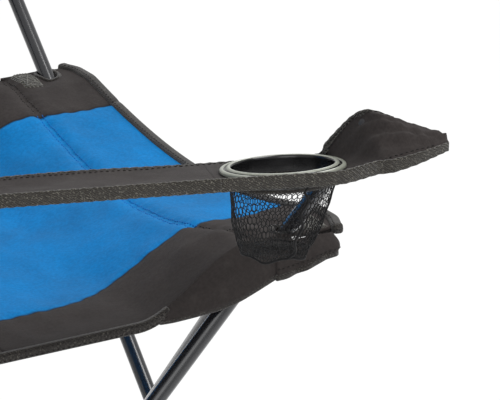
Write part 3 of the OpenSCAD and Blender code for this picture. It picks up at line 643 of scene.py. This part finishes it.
class Arm:
    """One arm's cloth: a strip from the backrest to a rolled nose over the post."""

    def __init__(self, right):
        self.right, self.side = right, -1 if right else 1
        run, rise = POST_X + 9 - ARM_X0, POST_Y[right] + ARM_Y0
        self.length, self.azimuth = math.hypot(run, rise), math.atan2(run, rise)
        self.cup = np.array(self.flat(0, self.length - CUP_BACK))
        s = self.length - np.array([456.6, 344, 229, 134, 68, 34])
        in_u, in_dz = (-34, -39, -44, -49, -50, -47), (0, 1.5, 2.5, -0.5, -1, 0)
        out_u, out_dz = (30, 35, 41, 46, 47, 46), (3, 4, 4.5, 4.5, 3.5, 3)
        in_nose = np.array([[-31, 18, -20], [-20, 12, -6], [-8, 6, 7], [4, 0, 12.5], [18, -19, 4],
                            [29, -34, -2.5], [37, -42, -7.5]], float)
        out_nose = np.array([[40, 17, -13.5], [44, 8, -13], [47, -2, -11.5], [49, -12, -10],
                             [49.5, -23, -8.5], [47.5, -33, -8], [43.5, -41, -8.5]], float)
        post = np.array([POST_X, -POST_Y[right], POST_TOP])
        inner = [self.flat(*at) for at in zip(in_u, s, in_dz)] + [post + d for d in in_nose]
        outer = [self.flat(*at) for at in zip(out_u, s, out_dz)] + [post + d for d in out_nose]
        count = len(inner) - 1
        fine = np.linspace(0, count, 400)
        mid = (spline(inner, fine) + spline(outer, fine)) / 2
        d = np.r_[0, np.cumsum(np.linalg.norm(np.diff(mid, axis=0), axis=1))]
        self.s = np.interp(np.linspace(0, d[-1], int(d[-1] / 2.6)), d, fine)
        self.inner, self.outer = spline(inner, self.s), spline(outer, self.s)

    def flat(self, u, s, dz=0.0):
        """A point of the flat part, u outward from its middle line and s ahead of its rear end."""
        return [ARM_X0 + s * math.sin(self.azimuth) + u * math.cos(ARM_ROLL) * math.cos(self.azimuth),
                ARM_Y0 - s * math.cos(self.azimuth) + u * math.cos(ARM_ROLL) * math.sin(self.azimuth),
                ARM_TOP + u * math.sin(ARM_ROLL) + dz]

    def points(self, t):
        """The cloth's surface: edges at t = -1 and 1, wrinkles, and a crown over the nose."""
        a, b = self.inner[:, None], self.outer[:, None]
        w = t[None, :, None]
        p = a + (b - a) * (w + 1) / 2
        nose = smooth((self.s - 5.2) / 2.2)[:, None] * np.ones_like(t)[None]
        flat = 1 - nose
        rim = np.abs(t)[None] ** 5
        plane = ARM_TOP + self.offset(p) * math.tan(ARM_ROLL)
        levelled = p[..., 2] + flat * (1 - rim) * (plane - 0.4 - p[..., 2])
        p[..., 2] = np.where(self.s[:, None] < 8.5, levelled, p[..., 2])
        across = (1 - t ** 2)[None]
        run = self.s[:, None]
        # Folds, each with its height, place across, slant, width, place along and length.
        fold = sum(h * bump(t[None] - c - sl * (run - 8), wd) * bump(run - m, ln) for h, c, sl, wd, m, ln in (
            (3.4, -0.25, 0.16, 0.13, 7.6, 1.7), (-2.6, 0.05, 0.13, 0.12, 7.9, 1.8),
            (2.6, 0.32, 0.1, 0.12, 8.2, 2.0), (-3.0, 0.6, 0.06, 0.12, 8.6, 1.6),
            (2.0, -0.62, 0.1, 0.14, 9.6, 1.5), (-4.0, 0.55, 0.0, 0.22, 11.0, 0.5)))
        p[..., 2] += nose * across * 5.0 + 0.55 * fold * across ** 0.5
        q = p - self.cup
        # Calm round the cup, where the ring holds the cloth flat.
        near_cup = 1 - (bump(np.hypot(q[..., 0], q[..., 1]) - 20, 42) if self.right else 0)
        wrinkle = (1.3 * noise(run * 3.1, t[None] * 1.7 + run, 11)
                   + 0.6 * noise(run * 8, t[None] * 3 - run * 2, 12) - flat * across * 2.2)
        p[..., 2] += near_cup * (1 - np.abs(t)[None] ** 4) * wrinkle
        p[..., 2] += 0.35 * np.sin(run * 44) * (bump(t[None] - 0.93, 0.06) + bump(t[None] + 0.93, 0.06))
        return p

    def offset(self, p):
        """How far outward of the middle line a point lies, level."""
        return ((p[..., 0] - ARM_X0) * math.cos(self.azimuth) + (p[..., 1] - ARM_Y0) * math.sin(self.azimuth))

    def make(self):
        word = "right" if self.right else "left"
        post_body = "front_tube_inner" if self.right else "front_tube_outer"
        split = self.length - CUP_BACK - CUP_RING_R - SPLIT_BACK
        ahead = (self.side * math.sin(self.azimuth), -math.cos(self.azimuth), 0.0)
        cut, hinge = (tuple(place(self.flat(0, s), self.side)) for s in (split, 0))

        def swing(obj):
            """A rear piece rides on the arm's rear part, which swings up from the backrest, with a mesh of
            its own.
            """
            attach(obj, f"arm_{word}_rear")
            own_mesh(obj)

        def on_arm(obj):
            """The part ahead of the split stays on the post; the rear part is returned."""
            rear = part_at(obj, cut, ahead)
            swing(rear)
            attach(obj, post_body)
            return rear
        t = np.linspace(-1, 1, 40)
        pts = self.points(t)
        d = np.r_[0, np.cumsum(np.linalg.norm(np.diff(pts[:, 20], axis=0), axis=1))]
        width = np.linalg.norm(self.outer - self.inner, axis=1)
        uv = np.stack([np.repeat(d[:, None], len(t), 1), t[None] * width[:, None] / 2], -1) * MM
        keep = None
        if self.right:
            centre = (pts[:-1, :-1] + pts[1:, 1:]) / 2 - self.cup
            keep = np.hypot(centre[..., 0] / math.cos(ARM_ROLL), centre[..., 1]) > CUP_HOLE_R
        obj, _ = surface(f"arm_{word}_cloth", place(pts, self.side), uv, DARK_CLOTH, keep=keep)
        thicken(obj, 2.2)
        rear = on_arm(obj)
        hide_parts(f"arm_{word}_front")
        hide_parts(f"arm_{word}_rear")
        k = int(np.searchsorted(d, split))
        hole = math.pi * CUP_HOLE_R ** 2 if self.right else 0
        for part, rows, on, lost in ((obj, slice(k, None), f"arm_post_{word}", hole),
                                     (rear, slice(0, k + 1), "backrest", 0)):
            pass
        # One webbing band round the whole edge: deep along the outer side, narrow round the nose.
        edge = even(np.vstack([self.outer, self.inner[::-1]]), 2.4)
        n = len(edge)
        y = edge[:, 1] + POST_Y[self.right]
        outer = np.arange(n) < n / 2
        deep = np.where(outer, 1.0 - 0.38 * smooth((4 - y) / 34), 0.62)
        deep = np.convolve(np.pad(deep, 8, mode="edge"), np.ones(17) / 17, "valid")
        band = rounded(2.6, 10.4, 0.42, 24)
        path = edge.copy()
        path[:, 2] += 0.25 * np.sin(np.arange(n) * 1.9) - 4.3 * deep
        depth = np.stack([deep ** 0.3, deep], 1)
        on_arm(sweep(f"arm_{word}_edge_band", path, band, BAND, self.side, scale=depth))
        inset = unit(np.cross(np.gradient(edge, axis=0), [0, 0, 1.0]))
        for k, dz in enumerate((-1.4, -7.6)):
            row = edge + inset * 1.5
            row[:, 2] += dz * deep
            on_arm(stitches(f"arm_{word}_band_stitches_{k}", row[4:-4], THREAD, self.side, pitch=3.4,
                            length=2.4, width=0.8, normal=(0.9, -0.2, 0.2)))
        # Lines of stitching just inside the band, on the top of the cloth.
        for k, w in enumerate((-0.9, 0.9)):
            line = self.points(np.array([w, w]))[6:-6, 0]
            on_arm(stitches(f"arm_{word}_top_stitches_{k}", line, THREAD, self.side, pitch=4.2))
        # Webbing tab that ties the arm's rear end to the backrest.
        tab = np.array([self.flat(u, 1.0, 0.6) for u in np.linspace(-33, 29, 24)])
        swing(sweep(f"arm_{word}_rear_seam", tab, rounded(4.0, 5.0, 0.6), BINDING, self.side))


def make_cup():
    """The right arm's ring and its net pocket."""
    arm = Arm(True)
    a = arm.azimuth
    out = np.array([math.cos(a) * math.cos(ARM_ROLL), math.sin(a) * math.cos(ARM_ROLL), math.sin(ARM_ROLL)])
    back = np.array([-math.sin(a), math.cos(a), 0])
    up = np.cross(out, back)
    centre = np.array(arm.flat(0, arm.length - CUP_BACK)) - up * 5
    # Ring: neck, polished inner wall, two ridges with a groove between them, and the flange's edge.
    profile = np.array([[39.6, -3], [39.6, 4.6], [45.3, 4.9], [46.0, 5.7], [45.8, 6.9], [44.8, 7.7],
                        [43.6, 7.8], [42.9, 7.1], [42.2, 6.7], [41.4, 7.2], [40.8, 8.1], [39.8, 8.8],
                        [38.6, 8.8], [37.8, 8.1], [37.4, 6.8], [37.2, 3], [37.0, -3], [37.6, -3.6],
                        [39.2, -3.6], [39.6, -3]])
    k = spline(profile, np.linspace(0, len(profile) - 1, 90))
    ang = np.linspace(0, 2 * math.pi, 120, endpoint=False)
    radial = np.cos(ang)[:, None] * out + np.sin(ang)[:, None] * back
    pts = centre + radial[:, None] * k[None, :, :1] + up * k[None, :, 1:]
    pts = np.swapaxes(pts, 0, 1)
    run = np.r_[0, np.cumsum(np.linalg.norm(np.diff(k, axis=0), axis=1))]
    uv = np.stack(np.meshgrid(run, np.linspace(0, 260, 121), indexing="ij"), -1) * MM
    ring, _ = surface("cup_ring_moulding", place(pts), uv, RING_BLACK, wrap=True)
    ring.data.materials.append(RING_RIM)
    rr = (k[:-1, 0] + k[1:, 0]) / 2
    zz = (k[:-1, 1] + k[1:, 1]) / 2
    # The pale colour goes on the tops of the two ridges.
    rim = ((rr > 43) & (zz > 5.2)) | ((rr > 38.0) & (rr < 41.0) & (zz > 7.4))
    ring.data.polygons.foreach_set("material_index", np.repeat(rim.astype(np.int32), 120))
    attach(ring, "front_tube_inner")
    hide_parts("cup_ring")
    # Net pocket: honeycomb threads on a bag that narrows and leans back as it hangs.
    cells, rows = 58, 19
    foot = np.array([centre[0] - 3, centre[1] + 7, centre[2] - 57])

    def bag(theta, v):
        """Round the bag by theta and down it by v: 0 at the ring, 1 at the foot's edge, 1.46 inside it."""
        radial = np.cos(theta)[..., None] * out + np.sin(theta)[..., None] * back
        top = centre - up * 3.4 + radial * 38.6
        level = np.stack([np.cos(theta + a), np.sin(theta + a), theta * 0], -1)
        r = 24.5 * np.clip((1.5 - v) / 0.5, 0.06, 1) + 1.2 * noise(theta * 3.2, v * 4, 21)
        rise = 2.0 * noise(theta * 2, v * 6, 23) * smooth(v) + 3.5 * smooth((v - 1.2) / 0.3)
        low = foot + level * r[..., None] + np.array([0, 0, 1.0]) * rise[..., None]
        down = np.clip(v, 0, 1)
        swell = 2.6 * np.sin(math.pi * down) + 1.2 * noise(theta * 4, v * 5, 22) * smooth(v * 3)
        return top + (low - top) * (0.5 * smooth(down) + 0.5 * down)[..., None] + level * swell[..., None]
    step = 2 * math.pi / cells
    starts, ends = [], []
    dv = 1.46 / rows
    for j in range(rows + 1):
        n2 = np.arange(2 * cells)
        shift = 0.5 * (j % 2)
        th = (n2 / 2 + shift) * step
        v = dv * (j + 0.33 * (n2 % 2))
        p = bag(th, v)
        starts.append(p)
        ends.append(np.roll(p, -1, axis=0))
        if j < rows:
            odd = n2 % 2 == 1
            th2, v2 = th[odd], v[odd]
            nv = np.full_like(v2, dv * (j + 1))
            starts.append(bag(th2, v2))
            ends.append(bag(th2, nv))
    net = struts("cup_pocket_net", place(np.vstack(starts)), place(np.vstack(ends)), 0.35 * MM, NET)
    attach(net, "front_tube_inner")
    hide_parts("cup_pocket")
    # The net's bunched seam, its gathered top under the ring, and the drawn-in edge of its foot.
    seam_at = math.radians(-16.8)
    v = np.linspace(0, 1.0, 40)
    seam = bag(np.full_like(v, seam_at) + 0.05 * np.sin(v * 21), v)
    pieces = [sweep("cup_pocket_seam", seam, rounded(2.2, 2.2, 1, 8), NET, up=(0.8, 0.6, 0.1))]
    ang = np.linspace(0, 2 * math.pi, 100)
    for name, v, section, material in (("cup_pocket_top_tape", 0.03, rounded(1.6, 4.0, 0.6, 12), BINDING),
                                       ("cup_pocket_foot_seam", 1.0, rounded(1.7, 1.9, 1, 8), NET)):
        pieces.append(sweep(name, bag(ang, ang * 0 + v), section, material, ends=False))
    for p in pieces:
        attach(p, "front_tube_inner")


# ---------------------------------------------------------------- backrest

UP_X, UP_Y = HALF - 6, 207.0   # the uprights
BACK_Y, LEAN, BEND_R, BEND_Z, UPPER = 189.5, math.radians(14), 80.0, 664.0, 190.0
BACK_LOW, BACK_HALF, BACK_EDGE = 484.8, 190.0, 217.5
BACK_SEAM, BACK_BLUE = 178.0, 150.0   # the seam's place up the panel, and the blue part's half width


def back_line(v):
    """Offset back and height of the upright's bent line, v along it from the foot of the panel."""
    straight = BEND_Z - BACK_LOW
    a = np.clip((v - straight) / BEND_R, 0, LEAN)
    rest = np.maximum(v - straight - BEND_R * LEAN, 0)
    y = BEND_R * (1 - np.cos(a)) + rest * math.sin(LEAN)
    z = BACK_LOW + np.minimum(v, straight) + BEND_R * np.sin(a) + rest * math.cos(LEAN)
    return y, z, a


def back_surface(x, v):
    """The slung backrest at x across and v up the uprights' line."""
    y, z, a = back_line(v)
    sag = 27 * np.clip(1 - (x / BACK_HALF) ** 2, 0, 1)
    edge = smooth((BACK_EDGE - abs(x)) / 40)
    ripple = edge * (1.8 * noise(x / 70, v / 34, 31) + 0.9 * noise(x / 24 + v / 60, v / 20, 32))
    d = v - BACK_SEAM
    ripple = ripple + 2.2 * bump(d, 4.5) + 0.4 * np.sin(x / 2.2) * bump(d, 9)
    b = BACK_BLUE - abs(x)
    ripple = ripple + 1.1 * bump(b, 2.4)
    off = BACK_Y + 1.5 + sag + ripple
    return np.stack([x, off * np.cos(a) + y, z - (off - UP_Y) * np.sin(a)], -1)


def make_back():
    top = BEND_Z - BACK_LOW + BEND_R * LEAN + UPPER - 8
    x = np.linspace(-BACK_EDGE, BACK_EDGE, 120)
    v = np.linspace(0, top, 108)
    gx, gv = np.meshgrid(x, v)
    pts = back_surface(gx, gv)
    uv = np.stack([gx, gv], -1) * MM
    obj, used = surface("backrest_cloth", place(pts, 1), uv, SEAT_CLOTH)
    attribute = obj.data.attributes.new("border", "FLOAT", "POINT")
    attribute.data.foreach_set("value", (BACK_BLUE - abs(gx)).ravel()[used].astype(np.float32))
    thicken(obj, 3.0)
    body = "rear_right_upright"
    on_width(obj, body)
    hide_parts("backrest")
    for name, row in (("top", pts[-1]), ("low", pts[0])):
        on_width(sweep(f"backrest_binding_{name}", row, rounded(5.4, 7.0, 0.6), BINDING, side=1), body)
    for side in (-1, 1):
        word = "right" if side < 0 else "left"
        edge = back_surface(np.full_like(v, BACK_EDGE), v)
        tape = rounded(4.4, 6.0, 0.6)
        on_width(sweep(f"backrest_binding_{word}", edge, tape, BINDING, side, up=(0, -1, 0)), body)
        for k, xx in enumerate((BACK_EDGE - 5, 196, 154)):
            line = back_surface(np.full_like(v, float(xx)), v) + [0, -0.3, 0]
            on_width(stitches(f"backrest_stitches_{word}_{k}", line, THREAD, side, normal=(0, -1, 0)), body)
        # Sewn sleeve round the upright's upper end.
        along = np.linspace(top - 148, top, 56)
        y, z, a = back_line(along)
        ang = np.linspace(0, 2 * math.pi, 36, endpoint=False)
        r = 10.4 + 0.5 * noise(along[:, None] / 13, ang[None] * 2, 41) + 0.3 * np.sin(along[:, None] / 1.9)
        tube = np.empty((len(along), len(ang), 3))
        tube[..., 0] = UP_X + r * np.cos(ang)
        ry = r * np.sin(ang)
        tube[..., 1] = UP_Y + y[:, None] + ry * np.cos(a)[:, None]
        tube[..., 2] = z[:, None] - ry * np.sin(a)[:, None]
        girth = np.linspace(0, 65, 37)
        uv = np.stack(np.meshgrid(along, girth, indexing="ij"), -1) * MM
        sleeve, _ = surface(f"backrest_sleeve_{word}", place(tube, side), uv, DARK_CLOTH, wrap=True)
        thicken(sleeve, 1.6)
        fabric(sleeve, "rear_right_upright" if side < 0 else "rear_left_upright")
    x = np.linspace(-BACK_EDGE + 4, BACK_EDGE - 4, 160)
    for k, dv in enumerate((-2.4, 2.4)):
        line = back_surface(x, np.full_like(x, BACK_SEAM + dv)) + [0, -0.3, 0]
        on_width(stitches(f"backrest_seam_stitches_{k}", line, THREAD, 1, normal=(0, -1, 0)), body)


# ---------------------------------------------------------------- frame, floor, light and camera

def dress_frame():
    """Gives each CAD node its slot's material."""
    by_slot = {"painted_steel": STEEL, "fitting_plastic": FITTING, "plug_plastic": PLUG,
               "washer_plastic": PLUG, "rivet_steel": ZINC, "seat_fabric": SEAT_CLOTH,
               "dark_fabric": DARK_CLOTH, "mesh_fabric": NET, "ring_plastic": RING_BLACK}
    for part in frame["record"]["subparts"]:
        obj = bpy.data.objects.get(part["node"])
        if obj is not None:
            for s in obj.material_slots:
                s.material = by_slot[part["material_slot"]]


def make_floor():
    """A pale floor, which the camera sees nearly white."""
    n = Nodes("pale_floor", Roughness=0.6)
    where = n("ShaderNodeTexCoord").outputs["Object"]
    tone = n.mix(n.noise(3.0, 3.0, where), rgb(238, 238, 238), rgb(246, 246, 246))
    n.set(n.shader.inputs["Base Color"], tone)
    glow = n("ShaderNodeEmission", {"Color": (1, 1, 1, 1), "Strength": 1.0})
    eye = n("ShaderNodeLightPath").outputs["Is Camera Ray"]
    share = n.math("MULTIPLY", eye, 0.82)
    mixer = n("ShaderNodeMixShader", {0: share, 1: n.shader.outputs[0], 2: glow.outputs[0]})
    n.tree.links.new(mixer.outputs[0], n.out.inputs[0])
    pts = np.array([[[-9, -9, 0], [9, -9, 0]], [[-9, 9, 0], [9, 9, 0]]], float)
    floor, _ = surface("floor", pts, pts[..., :2], n.mat)


def light(name, place_at, target, size, power):
    """A soft round lamp that faces a point."""
    data = bpy.data.lights.new(name, "AREA")
    data.shape, data.size, data.energy = "DISK", size, power
    obj = bpy.data.objects.new(name, data)
    obj.location = place_at
    obj.rotation_euler = (Vector(target) - Vector(place_at)).to_track_quat("-Z", "Y").to_euler()
    bpy.context.collection.objects.link(obj)


def camera():
    """The camera, on the right and a little behind the chair."""
    yaw, pitch, roll = math.radians(-27.8), math.radians(-19.6), math.radians(-1.7)
    look = Vector((math.cos(pitch) * math.cos(yaw), math.cos(pitch) * math.sin(yaw), math.sin(pitch)))
    side = look.cross(Vector((0, 0, 1))).normalized()
    up = side.cross(look)
    right = side * math.cos(roll) + up * math.sin(roll)
    top = up * math.cos(roll) - side * math.sin(roll)
    data = bpy.data.cameras.new("camera")
    data.lens, data.sensor_width, data.clip_end = 253.7, 36, 50
    obj = bpy.data.objects.new("camera", data)
    obj.matrix_world = (Matrix.Translation((-2.462, 0.963 + FRAME_Y, 1.417))
                        @ Matrix((right, top, -look)).transposed().to_4x4())
    bpy.context.collection.objects.link(obj)
    bpy.context.scene.camera = obj


def world():
    """Plain white light all round, which the camera sees as white."""
    w = bpy.data.worlds.new("studio")
    w.use_nodes = True
    nodes, links = w.node_tree.nodes, w.node_tree.links
    back = nodes["Background"]
    back.inputs[0].default_value = (1, 1, 1, 1)
    path = nodes.new("ShaderNodeLightPath")
    strength = nodes.new("ShaderNodeMapRange")
    strength.inputs[3].default_value, strength.inputs[4].default_value = 0.75, 1.0
    links.new(path.outputs["Is Camera Ray"], strength.inputs[0])
    links.new(strength.outputs[0], back.inputs[1])
    bpy.context.scene.world = w
    bpy.context.scene.view_settings.view_transform = "Standard"


camera()
world()
make_floor()
light("key", (-1.2, -1.0, 2.6), (-0.1, 0, 0.5), 1.6, 42)
light("fill", (-2.4, 1.6, 1.6), (-0.2, 0, 0.5), 2.0, 16)
light("rim", (1.6, -1.4, 1.8), (0, 0, 0.5), 1.2, 20)
make_seat()
make_corners()
Arm(True).make()
Arm(False).make()
make_cup()
make_back()
dress_frame()
